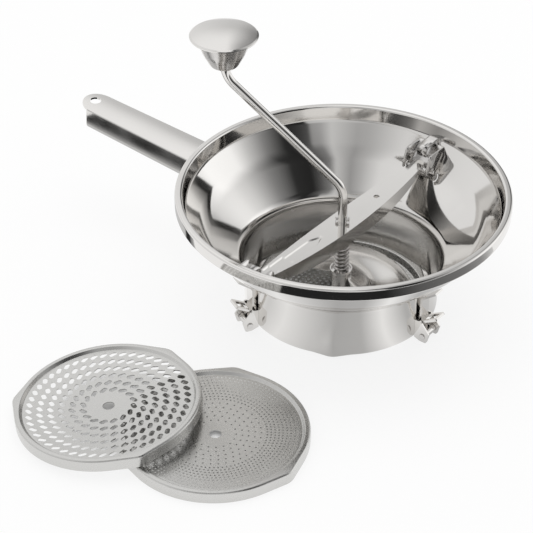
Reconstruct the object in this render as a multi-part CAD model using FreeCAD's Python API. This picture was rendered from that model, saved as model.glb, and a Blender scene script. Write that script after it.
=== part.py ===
import FreeCAD, Part
import math
import os

# Rotary food mill for straining tomatoes, with two spare sieve discs lying beside it.
# Millimetres, +Z up. The origin is on the crank axis, in the plane that the base ring stands on.
# The handle points along -X. Angles are counted from +X towards +Y, in degrees.

V = FreeCAD.Vector
UP = V(0, 0, 1)
ORIGIN = V(0, 0, 0)

# ---- driving dimensions -------------------------------------------------------------------

# bowl and base, one spun shell
bowl_sheet = 0.8
rim_radius = 120.0
rim_height = 95.7
rim_band = 4.6
rim_skirt = 9.2
rim_edge_radius = 1.7
rim_hem = 2.6
base_radius = 71.2
base_height = 36.0
base_corner = 5.0
seat_radius = 57.0
flare_radius = 100.0
flare_height = 60.0
flare_bend = 60.0
throat_bend = 6.0
lobe_count = 3
lobe_start = 60.0
base_lobe_reach = 74.0
base_lobe_bend = 12.0
lobe_full_height = 8.0
lobe_fade_height = 31.0
lobe_fade = 0.94
lobe_seat_inset = 0.6

# sieve discs, all three of one size
disc_sheet = 0.8
disc_radius = 64.0
disc_lobe_reach = 66.6
disc_lobe_bend = 12.0
disc_skirt = 8.6
disc_edge_radius = 1.6
disc_rim_band = 2.8
disc_dish_depth = 5.2
disc_dish_run = 2.4
disc_dish_bend = 1.2
disc_bore = 4.2

# perforations: radii of the first and last ring, ring pitch, hole pitch along a ring
medium_hole = 1.15
medium_rings = (14.0, 55.5, 3.95)
medium_pitch = 3.9
slot_length = 6.0
slot_width = 3.4
slot_skew = 55.0
slot_rings = (17.5, 54.3, 7.36)
slot_pitch = 6.7
fine_hole = 0.6
fine_inner_rings = (14.0, 31.0, 4.2)
fine_inner_pitch = 5.0
fine_outer_rings = (35.0, 56.2, 2.65)
fine_outer_pitch = 2.75

# spare discs on the table
fine_disc_x = 23.0
fine_disc_y = -179.0
fine_disc_turn = 116.0
coarse_disc_x = -48.2
coarse_disc_y = -204.7
coarse_disc_turn = 90.0
stack_gap = 0.5

# handle
handle_root = 96.0
handle_length = 147.5
handle_rise = 3.8
handle_height = 76.6
handle_root_width = 28.5
handle_end_width = 24.0
handle_plate_sheet = 1.5
handle_crown = 60.0
handle_shell_sheet = 1.2
handle_side = 7.0
handle_tab = 10.0
handle_shell_inset = 0.5
hang_hole = 4.4
hang_hole_back = 9.5
saddle_sheet = 1.5
saddle_width = 18.0
saddle_low = 61.0
saddle_high = 71.0

# bridge bar across the bowl
bridge_angle = 87.5
bridge_sheet = 1.2
bridge_reach = 97.5
bridge_half_width = 10.8
bridge_tip_half_width = 4.4
bridge_top = 68.0
bridge_bow = 4.0
bridge_depth = 11.0
bridge_tip_depth = 7.0
bridge_hole = 2.2
bridge_hole_at = 41.0
trough_start = -24.0
trough_shoulder = -33.0
trough_half_width = 2.6
trough_depth = 1.1
trough_end = -88.0
bush_radius = 5.0
bush_flange = 7.0
bush_flange_sheet = 1.0
bush_length = 5.0

# pins at the ends of the bridge and the brackets that hold them
end_pin_radius = 2.2
end_pin_length = 19.4
end_pin_reach = 93.0
end_pin_drop = 3.7
pin_fit = 0.05
notch_gap = 0.3
bracket_sheet = 1.2
bracket_width = 22.0
bracket_low = 66.8
bracket_high = 82.0
bracket_leg = 2.0
bracket_hood_width = 8.0
bracket_hood_top = 86.0
bracket_hood_reach = 96.0
bracket_hood_low = 76.5
bracket_hood_bend = 3.5

# crank
rod_radius = 3.25
rod_tip = 1.4
rod_tip_taper = 1.0
crank_angle = 204.0
crank_arm = 85.8
crank_elbow = 97.0
crank_wrist = 178.0
elbow_bend = 18.0
wrist_bend = 22.0
rod_top = 204.8
stop_pin_radius = 1.6
stop_pin_length = 10.4
stop_pin_gap = 1.3
rod_fit = 0.06

# knob
knob_radius = 24.0
knob_rim_height = 210.4
knob_dome = 3.6
knob_sheet = 1.0
knob_lip = 2.0
cup_sheet = 0.9
cup_top_radius = 19.4
cup_mid_radius = 15.0
cup_mid_drop = 14.0
cup_base_radius = 9.4
cup_drop = 24.5
cup_neck_bend = 2.0
cup_base_bend = 4.5
cup_bore = 5.2
sleeve_radius = 6.2
sleeve_length = 15.0
sleeve_gap = 0.3
collar_radius = 4.6
collar_height = 2.0
retainer_radius = 5.6
retainer_height = 1.2

# spring between bridge and agitator
spring_wire = 0.95
spring_mean_radius = 4.75
spring_pitch = 3.25
spring_clearance = 0.05
washer_radius = 7.5
washer_sheet = 0.8
cup_radius = 8.2
cup_wall = 0.8
cup_height = 3.0

# agitator
hub_radius = 7.0
hub_top = 24.4
hub_gap = 0.6
hub_pin_radius = 1.5
hub_pin_height = 12.0
blade_sheet = 1.2
blade_radius = 53.0
blade_lead = 184.0
blade_trail = -12.0
blade_sections = 9
blade_lift = 12.5
blade_gap = 0.5
blade_neck = 21.0
blade_shoulder = 14.0
blade_skirt = 22.0

# folding feet on the outside of the base
foot_angles = (-1.0, 120.0, 243.0)
foot_sheet = 1.2
foot_width = 15.0
foot_plate_low = 2.0
foot_plate_high = 17.0
foot_pivot_out = 6.5
foot_pivot_height = 5.0
foot_rivet_radius = 1.5
foot_rivet_head = 2.4
foot_rivet_head_height = 0.9
foot_barrel = 2.7
foot_side_gap = 0.3
leg_sheet = 1.5
leg_width = 9.0
leg_stand_off = 1.6
leg_bend_height = 35.0
leg_end_length = 15.0
leg_end_angle = 39.0
loop_height = 14.0
loop_length = 16.5
loop_rise = 30.0
loop_bar = 2.4
loop_sheet = 1.8
loop_width = 11.6

weld_gap = 0.05


# ---- helpers ------------------------------------------------------------------------------

def polar(radius, angle, height=0.0):
    """Point at a radius and an angle in degrees."""
    turn = math.radians(angle)
    return V(radius * math.cos(turn), radius * math.sin(turn), height)


def section_point(radius, height):
    """Point of a section drawn in the XZ plane."""
    return V(radius, 0, height)


def offset_path(path, distance):
    """Shift a bent path (x, y, bend radius) to its right by a distance, as sheet metal does."""
    count = len(path)
    lines = []
    for (x0, y0, _), (x1, y1, _) in zip(path, path[1:]):
        length = math.hypot(x1 - x0, y1 - y0)
        dx, dy = (x1 - x0) / length, (y1 - y0) / length
        lines.append((x0 + dy * distance, y0 - dx * distance, dx, dy))
    moved = [(lines[0][0], lines[0][1], 0.0)]
    for i in range(1, count - 1):
        ax, ay, adx, ady = lines[i - 1]
        bx, by, bdx, bdy = lines[i]
        cross = adx * bdy - ady * bdx
        along = ((bx - ax) * bdy - (by - ay) * bdx) / cross
        bend = path[i][2]
        if bend > 0:
            bend = max(bend + math.copysign(distance, cross), 0.01)
        moved.append((ax + adx * along, ay + ady * along, bend))
    x, y, dx, dy = lines[-1]
    last = math.hypot(path[-1][0] - path[-2][0], path[-1][1] - path[-2][1])
    moved.append((x + dx * last, y + dy * last, 0.0))
    return moved


def path_edges(path, place):
    """Edges of a bent path: straight runs joined by tangent arcs."""
    edges = []
    start = place(path[0][0], path[0][1])
    for i in range(1, len(path) - 1):
        corner = place(path[i][0], path[i][1])
        before = place(path[i - 1][0], path[i - 1][1]) - corner
        after = place(path[i + 1][0], path[i + 1][1]) - corner
        before.normalize()
        after.normalize()
        bend = path[i][2]
        if bend <= 0:
            edges.append(Part.makeLine(start, corner))
            start = corner
            continue
        half = before.getAngle(after) / 2
        tangent = bend / math.tan(half)
        middle = before + after
        middle.normalize()
        arc_start = corner + before * tangent
        arc_end = corner + after * tangent
        arc_middle = corner + middle * (bend / math.sin(half) - bend)
        edges.append(Part.makeLine(start, arc_start))
        edges.append(Part.Arc(arc_start, arc_middle, arc_end).toShape())
        start = arc_end
    edges.append(Part.makeLine(start, place(path[-1][0], path[-1][1])))
    return edges


def sheet_face(path, thickness, place=section_point):
    """Section of a bent sheet that lies to the right of its path."""
    other = offset_path(path, thickness)
    edges = path_edges(path, place) + path_edges(other, place)
    edges.append(Part.makeLine(place(*path[0][:2]), place(*other[0][:2])))
    edges.append(Part.makeLine(place(*path[-1][:2]), place(*other[-1][:2])))
    return Part.Face(Part.Wire(Part.__sortEdges__(edges)))


def closed_face(path, place=section_point):
    """Face inside a path that is closed by a straight line."""
    edges = path_edges(path, place)
    edges.append(Part.makeLine(place(*path[-1][:2]), place(*path[0][:2])))
    return Part.Face(Part.Wire(Part.__sortEdges__(edges)))


def turned(face):
    """Solid of revolution about the crank axis."""
    return face.revolve(ORIGIN, UP, 360)


def disc_solid(radius, low, high):
    """Plain cylinder on the crank axis."""
    return Part.makeCylinder(radius, high - low, V(0, 0, low))


def ring(outer, inner, low, high):
    """Plain tube on the crank axis."""
    return disc_solid(outer, low, high).cut(disc_solid(inner, low - 1, high + 1))


def turn_z(shape, angle):
    """Copy of a shape turned about the crank axis."""
    copy = shape.copy()
    copy.rotate(ORIGIN, UP, angle)
    return copy


def merged(first, *others):
    """One solid from touching solids, with leftover seams removed."""
    return first.fuse(list(others)).removeSplitter()


# ---- bowl ---------------------------------------------------------------------------------

def bowl_path():
    """Food side of the bowl, from the seat's edge up the wall and round the rim."""
    inner = base_radius - bowl_sheet
    return [
        (seat_radius, bowl_sheet, 0),
        (inner, bowl_sheet, base_corner - bowl_sheet),
        (inner, base_height, throat_bend),
        (flare_radius, flare_height, flare_bend),
        (rim_radius - rim_band, rim_height, 1.6),
        (rim_radius, rim_height, rim_edge_radius),
        (rim_radius, rim_height - rim_skirt, 1.2),
        (rim_radius - rim_hem, rim_height - rim_skirt, 0),
    ]


def bowl_space(inset):
    """Everything inside the bowl's wall, drawn in by an inset from the food side."""
    wall = bowl_path()[2:5]
    low = (wall[0][0], 0.0, 0)
    path = offset_path([low] + wall, -inset)
    top = path[-1]
    closed = path + [(0, top[1], 0)]
    closed = [(0, 0.0, 0)] + closed
    return turned(closed_face(closed))


def lobed_wire(radius, reach, bend, height, start):
    """Round outline with three rounded corners that stand proud of it."""
    tip = (reach - bend) / (1 - bend / radius)
    spread = math.degrees(math.acos(radius / tip))
    half = math.asin(radius / tip)
    run = tip * math.cos(half) - bend / math.tan(half)
    edges = []
    step = 360.0 / lobe_count
    for k in range(lobe_count):
        middle = start + k * step
        before = polar(radius, middle - spread, height)
        after = polar(radius, middle + spread, height)
        corner = polar(tip, middle, height)
        way_in = (corner - before).normalize()
        way_out = (corner - after).normalize()
        arc_start = before + way_in * run
        arc_end = after + way_out * run
        edges.append(Part.makeLine(before, arc_start))
        edges.append(Part.Arc(arc_start, polar(reach, middle, height), arc_end).toShape())
        edges.append(Part.makeLine(arc_end, after))
        next_before = polar(radius, middle + step - spread, height)
        half_way = polar(radius, middle + step / 2, height)
        edges.append(Part.Arc(after, half_way, next_before).toShape())
    return Part.Wire(Part.__sortEdges__(edges))


def base_lobes(inset, low):
    """Solid of the base's three bulges, fading into the round wall above them."""
    radius = base_radius - lobe_seat_inset - inset
    reach = base_lobe_reach - inset
    bend = base_lobe_bend - inset
    foot = lobed_wire(radius, reach, bend, low, lobe_start)
    full = lobed_wire(radius, reach, bend, lobe_full_height, lobe_start)
    shrunk = lobed_wire(radius * lobe_fade, reach * lobe_fade, bend * lobe_fade, lobe_fade_height, lobe_start)
    block = Part.makeLoft([foot, full, shrunk], True, True)
    bottom = [e for e in block.Edges if e.BoundBox.ZMax < low + 0.01]
    return block.makeFillet(base_corner - inset, bottom)


def make_bowl():
    shell = turned(sheet_face(bowl_path(), bowl_sheet))
    shell = shell.fuse(base_lobes(0.0, 0.0))
    shell = shell.cut(base_lobes(bowl_sheet, bowl_sheet))
    shell = shell.cut(disc_solid(base_radius - bowl_sheet, base_corner, lobe_fade_height + 1))
    shell = shell.cut(disc_solid(seat_radius, -1, base_corner + 1))
    return shell.removeSplitter()


# ---- sieve discs --------------------------------------------------------------------------

def ring_radii(rings):
    first, last, pitch = rings
    count = int(round((last - first) / pitch)) + 1
    return [first + k * (last - first) / (count - 1) for k in range(count)]


def holes_on_rings(radius, rings, pitch, skip=0.0):
    """Round holes on rings, each ring shifted by half a pitch from the one inside it."""
    wires = []
    for number, ring_radius in enumerate(ring_radii(rings)):
        count = int(2 * math.pi * ring_radius / pitch)
        for k in range(count):
            centre = polar(ring_radius, 360.0 * (k + 0.5 * (number % 2)) / count + skip)
            wires.append(Part.Wire(Part.makeCircle(radius, centre)))
    return wires


def slots_on_rings():
    """Oval slots on rings, all leaning the same way so that they read as spirals."""
    wires = []
    half = (slot_length - slot_width) / 2
    radius = slot_width / 2
    for number, ring_radius in enumerate(ring_radii(slot_rings)):
        count = int(2 * math.pi * ring_radius / slot_pitch)
        for k in range(count):
            angle = 360.0 * (k + 0.5 * (number % 2)) / count
            centre = polar(ring_radius, angle)
            along = polar(1, angle - slot_skew)
            across = polar(1, angle - slot_skew + 90)
            a, b = centre - along * half, centre + along * half
            edges = [
                Part.makeLine(a - across * radius, b - across * radius),
                Part.Arc(b - across * radius, b + along * radius, b + across * radius).toShape(),
                Part.makeLine(b + across * radius, a + across * radius),
                Part.Arc(a + across * radius, a - along * radius, a - across * radius).toShape(),
            ]
            wires.append(Part.Wire(edges))
    return wires


def floor_radius():
    """Radius at which the dish's sloping side meets its flat floor."""
    return disc_radius - disc_rim_band - disc_dish_run


def make_disc(openings):
    """Sieve disc standing on z = 0: lobed skirt and rim, dished side, perforated floor."""
    outer = Part.Face(lobed_wire(disc_radius, disc_lobe_reach, disc_lobe_bend, 0, lobe_start))
    outer = outer.extrude(V(0, 0, disc_skirt))
    top = [e for e in outer.Edges if e.BoundBox.ZMin > disc_skirt - 0.01]
    outer = outer.makeFillet(disc_edge_radius, top)
    t = disc_sheet
    inner = Part.Face(lobed_wire(disc_radius - t, disc_lobe_reach - t, disc_lobe_bend - t, -1, lobe_start))
    inner = inner.extrude(V(0, 0, disc_skirt - t + 1))
    top = [e for e in inner.Edges if e.BoundBox.ZMin > disc_skirt - t - 0.01]
    inner = inner.makeFillet(disc_edge_radius - t, top)
    mouth = disc_radius - disc_rim_band
    skirt = outer.cut(inner).cut(disc_solid(mouth, -1, disc_skirt + 1))
    floor_top = disc_skirt - disc_dish_depth
    plate_radius = floor_radius() - disc_dish_bend
    dish_path = [
        (plate_radius, floor_top, 0),
        (floor_radius(), floor_top, disc_dish_bend),
        (mouth - 0.6, disc_skirt, 1.2),
        (mouth + 1.0, disc_skirt, 0),
    ]
    dish = turned(sheet_face(dish_path, t)).common(disc_solid(mouth, -1, disc_skirt + 1))
    edge = Part.Wire(Part.makeCircle(plate_radius))
    bore = Part.Wire(Part.makeCircle(disc_bore))
    plate = Part.makeFace(Part.makeCompound([edge, bore] + openings), "Part::FaceMakerCheese")
    plate = plate.extrude(V(0, 0, t))
    plate.translate(V(0, 0, floor_top - t))
    return skirt.fuse([dish, plate])


def lean_disc(disc):
    """Disc that leans with one side on the table and the other on its neighbour's rim."""
    dx = fine_disc_x - coarse_disc_x
    dy = fine_disc_y - coarse_disc_y
    apart = math.hypot(dx, dy)
    uphill = math.degrees(math.atan2(dy, dx))
    tilt = math.degrees(math.asin((disc_skirt + stack_gap) / (disc_lobe_reach + apart / 2)))
    low_point = polar(-disc_lobe_reach, uphill)
    disc.rotate(low_point, polar(1, uphill + 90), -tilt)
    disc.translate(V(coarse_disc_x, coarse_disc_y, 0))
    return disc


# ---- handle -------------------------------------------------------------------------------

def handle_place(shape):
    """Bring a piece from handle axes (X outwards, Z up, top of the crown at 0) to its place."""
    shape.rotate(ORIGIN, V(0, 1, 0), -handle_rise)
    shape.translate(V(handle_root, 0, handle_height))
    shape.rotate(ORIGIN, UP, 180)
    return shape


def handle_half_width(along):
    share = along / handle_length
    return (handle_root_width + (handle_end_width - handle_root_width) * share) / 2


def handle_barrel(radius):
    """Long cylinder that gives the crowned top its curve."""
    overrun = 20.0
    centre = V(-overrun, 0, -handle_crown)
    return Part.makeCylinder(radius, handle_length + 2 * overrun, centre, V(1, 0, 0))


def make_handle_plate():
    end = handle_half_width(handle_length)
    root = handle_half_width(0)
    tip_centre = handle_length - end
    outline = [
        Part.makeLine(V(0, -root, 0), V(tip_centre, -end, 0)),
        Part.Arc(V(tip_centre, -end, 0), V(handle_length, 0, 0), V(tip_centre, end, 0)).toShape(),
        Part.makeLine(V(tip_centre, end, 0), V(0, root, 0)),
        Part.makeLine(V(0, root, 0), V(0, -root, 0)),
    ]
    depth = handle_crown / 2
    blank = Part.Face(Part.Wire(outline)).extrude(V(0, 0, -depth))
    plate = blank.common(handle_barrel(handle_crown)).cut(handle_barrel(handle_crown - handle_plate_sheet))
    hole = Part.makeCylinder(hang_hole, 4 * handle_plate_sheet,
                             V(handle_length - hang_hole_back, 0, -3 * handle_plate_sheet))
    plate = plate.cut(hole)
    plate = handle_place(plate)
    return plate.cut(bowl_outside())


def trough_section(along, inset):
    """Closed U section across the handle at a distance along it."""
    half = handle_half_width(along) - handle_shell_inset - inset
    low = -handle_plate_sheet - handle_side
    edges = [
        Part.makeLine(V(along, half, 2), V(along, half, low)),
        Part.Arc(V(along, half, low), V(along, 0, low - half), V(along, -half, low)).toShape(),
        Part.makeLine(V(along, -half, low), V(along, -half, 2)),
        Part.makeLine(V(along, -half, 2), V(along, half, 2)),
    ]
    return Part.Wire(edges)


def make_handle_shell():
    end = handle_length - handle_tab
    outer = Part.makeLoft([trough_section(0, 0), trough_section(end, 0)], True, True)
    inner = Part.makeLoft([trough_section(-1, handle_shell_sheet),
                           trough_section(end + 1, handle_shell_sheet)], True, True)
    shell = outer.cut(inner).common(handle_barrel(handle_crown - handle_plate_sheet - weld_gap))
    shell = handle_place(shell)
    return shell.cut(bowl_outside())


def bowl_outside():
    """The bowl's outer surface as a filled body, with the gap left for a weld."""
    wall = bowl_path()[2:5]
    low = (wall[0][0], 0.0, 0)
    path = offset_path([low] + wall, bowl_sheet + weld_gap)
    closed = [(0, 0.0, 0)] + path + [(0, path[-1][1], 0)]
    return turned(closed_face(closed))


def make_handle_saddle():
    """Curved plate, spot welded to the bowl, that the hollow handle is fixed over."""
    wall = bowl_path()[2:5]
    low = (wall[0][0], 0.0, 0)
    path = offset_path([low] + wall, bowl_sheet + weld_gap + saddle_sheet)
    closed = [(0, 0.0, 0)] + path + [(0, path[-1][1], 0)]
    skin = turned(closed_face(closed)).cut(bowl_outside())
    block = Part.makeBox(rim_radius, saddle_width, saddle_high - saddle_low,
                         V(-rim_radius, -saddle_width / 2, saddle_low))
    return skin.common(block)


# ---- bridge -------------------------------------------------------------------------------

def bow_rise(along):
    return bridge_bow * (along / bridge_reach) ** 2


def bridge_plan(half, tip, reach):
    """Leaf-shaped outline with rounded ends."""
    edges = [
        Part.Arc(V(-reach + tip, -tip, 0), V(0, -half, 0), V(reach - tip, -tip, 0)).toShape(),
        Part.Arc(V(reach - tip, -tip, 0), V(reach, 0, 0), V(reach - tip, tip, 0)).toShape(),
        Part.Arc(V(reach - tip, tip, 0), V(0, half, 0), V(-reach + tip, tip, 0)).toShape(),
        Part.Arc(V(-reach + tip, tip, 0), V(-reach, 0, 0), V(-reach + tip, -tip, 0)).toShape(),
    ]
    return Part.Face(Part.Wire(edges))


def bridge_side(drop, depth, tip_depth):
    """Side view of the bar: bowed top and a belly that is deepest in the middle."""
    top = bridge_top - drop
    reach = bridge_reach + 2
    end = top + bow_rise(reach)
    width = 2 * bridge_half_width + 10
    edges = [
        Part.Arc(V(-reach, 0, end), V(0, 0, top), V(reach, 0, end)).toShape(),
        Part.makeLine(V(reach, 0, end), V(reach, 0, end - tip_depth)),
        Part.Arc(V(reach, 0, end - tip_depth), V(0, 0, top - depth), V(-reach, 0, end - tip_depth)).toShape(),
        Part.makeLine(V(-reach, 0, end - tip_depth), V(-reach, 0, end)),
    ]
    face = Part.Face(Part.Wire(edges))
    face.translate(V(0, width / 2, 0))
    return face.extrude(V(0, -width, 0))


def trough_block(grow, drop):
    """Long pressed groove in the top of the bar, pointed at its inner end."""
    half = trough_half_width + grow
    points = [
        V(trough_start + grow, 0, 0),
        V(trough_shoulder, -half, 0),
        V(trough_end - grow, -half * 0.7, 0),
        V(trough_end - grow, half * 0.7, 0),
        V(trough_shoulder, half, 0),
        V(trough_start + grow, 0, 0),
    ]
    face = Part.Face(Part.makePolygon(points))
    prism = face.extrude(V(0, 0, 2 * bridge_top))
    return prism.cut(bridge_side(drop, 2 * bridge_depth, 2 * bridge_depth))


def make_bridge_bar():
    t = bridge_sheet
    tall = 2 * bridge_top
    plan = bridge_plan(bridge_half_width, bridge_tip_half_width, bridge_reach).extrude(V(0, 0, tall))
    body = plan.common(bridge_side(0, bridge_depth + t, bridge_tip_depth + t))
    core = bridge_plan(bridge_half_width - t, bridge_tip_half_width - t, bridge_reach - t)
    core = core.extrude(V(0, 0, tall)).common(bridge_side(t, 3 * bridge_depth, 3 * bridge_depth))
    under = trough_block(t, trough_depth + t)
    bar = body.cut(core.cut(under)).cut(trough_block(0, trough_depth))
    bar = bar.cut(Part.makeCylinder(bush_radius, tall))
    bar = bar.cut(Part.makeCylinder(bridge_hole, tall, V(bridge_hole_at, 0, 0)))
    for side in (-1, 1):
        centre = end_pin_centre(side)
        bar = bar.cut(Part.makeCylinder(end_pin_radius, 4 * bridge_half_width,
                                        centre - V(0, 2 * bridge_half_width, 0), V(0, 1, 0)))
    return turn_z(bar, bridge_angle)


def end_pin_centre(side):
    height = bridge_top + bow_rise(end_pin_reach) - end_pin_drop
    return V(side * end_pin_reach, 0, height)


def make_end_pin(side):
    centre = end_pin_centre(side)
    pin = Part.makeCylinder(end_pin_radius, end_pin_length, centre - V(0, end_pin_length / 2, 0), V(0, 1, 0))
    rims = [e for e in pin.Edges if e.Closed]
    pin = pin.makeFillet(end_pin_radius / 3, rims)
    return turn_z(pin, bridge_angle)


def make_bridge_bush():
    """Flanged bush that guides the crank's rod through the bar."""
    under = bridge_top - bridge_sheet
    body = disc_solid(bush_radius, under - bush_length, bridge_top)
    flange = disc_solid(bush_flange, under - bush_flange_sheet, under)
    bore = disc_solid(rod_radius + rod_fit, under - bush_length - 1, bridge_top + 1)
    return merged(body, flange).cut(bore)


def make_bracket(side):
    """Bracket on the bowl's wall: a plate on the wall, two notched cheeks and a curled hood."""
    t = bracket_sheet
    space = bowl_space(weld_gap)
    wide = rim_radius
    block = Part.makeBox(wide, bracket_width, bracket_high - bracket_low, V(0, -bracket_width / 2, bracket_low))
    plate = space.common(block).cut(bowl_space(weld_gap + t))
    pin = end_pin_centre(1)
    inner_edge = pin.x - end_pin_radius - notch_gap - bracket_leg
    shape = closed_face([
        (inner_edge, bracket_low, 0),
        (inner_edge, pin.z + 3.0, 2.0),
        (inner_edge + 4.0, bracket_high, 3.0),
        (rim_radius, bracket_high, 0),
        (rim_radius, bracket_low, 0),
    ])
    notch = end_pin_radius + notch_gap
    slot = Part.makeCylinder(notch, bracket_width + 2, pin - V(0, bracket_width / 2 + 1, 0), V(0, 1, 0))
    slot = slot.fuse(Part.makeBox(2 * notch, bracket_width + 2, pin.z,
                                  V(pin.x - notch, -bracket_width / 2 - 1, 0)))
    cheeks = []
    for hand in (-1, 1):
        cheek = shape.copy()
        cheek.translate(V(0, hand * (bracket_width / 2 - t / 2) + t / 2, 0))
        cheek = cheek.extrude(V(0, -t, 0))
        cheeks.append(cheek.cut(slot).common(space))
    hood_path = [
        (rim_radius, bracket_hood_top, 0),
        (bracket_hood_reach, bracket_hood_top - 1.5, bracket_hood_bend),
        (bracket_hood_reach + 1.0, bracket_hood_low, 0),
    ]
    hood = sheet_face(hood_path, -t)
    hood.translate(V(0, bracket_hood_width / 2, 0))
    hood = hood.extrude(V(0, -bracket_hood_width, 0)).common(space)
    strap_block = Part.makeBox(wide, bracket_hood_width, bracket_hood_top - bracket_high,
                               V(0, -bracket_hood_width / 2, bracket_high - 0.5))
    strap = space.common(strap_block).cut(bowl_space(weld_gap + t))
    strap = strap.common(Part.makeBox(wide, bracket_width, rim_height, V(bracket_hood_reach, -bracket_width / 2, 0)))
    bracket = merged(plate, cheeks[0], cheeks[1], strap, hood)
    if side < 0:
        bracket = turn_z(bracket, 180)
    return turn_z(bracket, bridge_angle)


# ---- crank and knob -----------------------------------------------------------------------

def crank_point(out, height):
    return polar(out, crank_angle, height)


def make_crank_rod():
    path = [(0, rod_tip, 0), (0, crank_elbow, elbow_bend), (crank_arm, crank_wrist, wrist_bend),
            (crank_arm, rod_top, 0)]
    spine = Part.Wire(path_edges(path, crank_point))
    section = Part.Wire(Part.makeCircle(rod_radius, V(0, 0, rod_tip)))
    rod = spine.makePipeShell([section], True, False)
    cone = Part.makeCone(rod_radius - rod_tip_taper, rod_radius, rod_tip_taper, V(0, 0, rod_tip))
    keep = cone.fuse(Part.makeBox(4 * crank_arm, 4 * crank_arm, rod_top,
                                  V(-2 * crank_arm, -2 * crank_arm, rod_tip + rod_tip_taper)))
    rod = rod.common(keep)
    rod = rod.cut(cross_pin(stop_pin_radius, 4 * rod_radius, stop_pin_height(), crank_angle))
    return rod.cut(cross_pin(hub_pin_radius, 4 * rod_radius, hub_pin_height, crank_angle + 90))


def stop_pin_height():
    return bridge_top + stop_pin_gap + stop_pin_radius


def cross_pin(radius, length, height, angle):
    return Part.makeCylinder(radius, length, polar(-length / 2, angle, height), polar(1, angle))


def make_stop_pin():
    pin = cross_pin(stop_pin_radius, stop_pin_length, stop_pin_height(), crank_angle)
    rims = [e for e in pin.Edges if e.Closed]
    return pin.makeFillet(stop_pin_radius * 0.6, rims)


def make_hub_pin():
    return cross_pin(hub_pin_radius, 2 * hub_radius - 0.4, hub_pin_height, crank_angle + 90)


def knob_place(shape):
    shape.translate(crank_point(crank_arm, 0))
    return shape


def make_knob_cap():
    """Shallow domed lid with a turned-down lip."""
    radius = knob_radius
    chord = radius - 1.0
    curve = (chord * chord + knob_dome * knob_dome) / (2 * knob_dome)
    centre = knob_rim_height + knob_dome - curve
    outer = Part.makeSphere(curve, V(0, 0, centre)).common(disc_solid(chord, knob_rim_height, rod_top + 99))
    rim = turned(closed_face([
        (0, knob_rim_height - knob_lip, 0),
        (radius - 0.8, knob_rim_height - knob_lip, 0.7),
        (radius, knob_rim_height - 0.8, 0.7),
        (chord, knob_rim_height, 0.0),
        (0, knob_rim_height, 0),
    ]))
    body = merged(outer, rim)
    t = knob_sheet
    hollow = Part.makeSphere(curve - t, V(0, 0, centre))
    hollow = hollow.common(disc_solid(chord - t, knob_rim_height - knob_lip, rod_top + 99))
    hollow = hollow.fuse(disc_solid(chord - t, knob_rim_height - knob_lip - 1, knob_rim_height))
    return knob_place(body.cut(hollow))


def make_knob_cup():
    """Tapered hollow body of the knob, fitted up into the cap's lip."""
    rim = knob_rim_height
    path = [
        (knob_radius - 1.0 - knob_sheet - weld_gap, rim - knob_lip + 0.2, 0),
        (cup_top_radius, rim - knob_lip + 0.2, cup_neck_bend),
        (cup_mid_radius, rim - cup_mid_drop, 30.0),
        (cup_base_radius, rim - cup_drop, cup_base_bend),
        (cup_bore, rim - cup_drop, 0),
    ]
    return knob_place(turned(sheet_face(path, cup_sheet)))


def sleeve_low():
    return knob_rim_height - cup_drop + cup_sheet


def make_knob_sleeve():
    """Sleeve that turns on the end of the crank's rod."""
    low = sleeve_low()
    return knob_place(ring(sleeve_radius, rod_radius + rod_fit, low, low + sleeve_length))


def make_knob_collar():
    high = sleeve_low() - sleeve_gap
    return knob_place(disc_solid(collar_radius, high - collar_height, high)).cut(make_crank_rod())


def make_knob_retainer():
    low = sleeve_low() + sleeve_length + sleeve_gap
    return knob_place(ring(retainer_radius, rod_radius, low, low + retainer_height))


# ---- spring and agitator ------------------------------------------------------------------

def spring_low():
    return hub_top + cup_wall


def spring_high():
    return bridge_top - bridge_sheet - bush_length - washer_sheet


def make_spring_washer():
    return ring(washer_radius, rod_radius + rod_fit, spring_high(), spring_high() + washer_sheet)


def make_spring():
    low = spring_low() + spring_wire + spring_clearance
    high = spring_high() - spring_wire - spring_clearance
    turns = max(round((high - low) / spring_pitch), 1)
    helix = Part.makeHelix((high - low) / turns, high - low, spring_mean_radius)
    section = Part.Wire(Part.makeCircle(spring_wire, V(spring_mean_radius, 0, 0), V(0, 1, 0)))
    coil = Part.Wire(helix.Edges).makePipeShell([section], True, True)
    coil.translate(V(0, 0, low))
    return coil


def make_spring_cup():
    """Shallow cup on the hub that seats the spring."""
    path = [
        (rod_radius + rod_fit, hub_top + cup_wall, 0),
        (cup_radius - cup_wall, hub_top + cup_wall, 0.6),
        (cup_radius - cup_wall, hub_top + cup_height, 0),
    ]
    return turned(sheet_face(path, cup_wall))


def floor_height():
    """Top of the perforated floor of the disc in the mill."""
    return bowl_sheet + disc_skirt - disc_dish_depth


def make_hub():
    hub = ring(hub_radius, rod_radius, floor_height() + hub_gap, hub_top)
    return hub.cut(cross_pin(hub_pin_radius, 3 * hub_radius, hub_pin_height, crank_angle + 90))


def blade_section(share):
    """Thin radial section of the blade; share runs from its trailing to its leading edge."""
    angle = blade_trail + (blade_lead - blade_trail) * share
    low = floor_height() + blade_gap + blade_lift * share ** 1.4
    neck = blade_neck
    heights = [
        (hub_radius, neck),
        (blade_shoulder, low + (neck - low) * 0.45),
        (blade_skirt, low + (neck - low) * 0.08),
        (blade_radius * 0.7, low),
        (blade_radius, low),
    ]
    under = [polar(r, angle, z) for r, z in heights]
    over = [polar(r, angle, z + blade_sheet) for r, z in heights]
    lower = Part.BSplineCurve()
    lower.interpolate(under)
    upper = Part.BSplineCurve()
    upper.interpolate(over)
    edges = [lower.toShape(), Part.makeLine(under[-1], over[-1]),
             upper.toShape(), Part.makeLine(over[0], under[0])]
    return Part.Wire(Part.__sortEdges__(edges))


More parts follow.
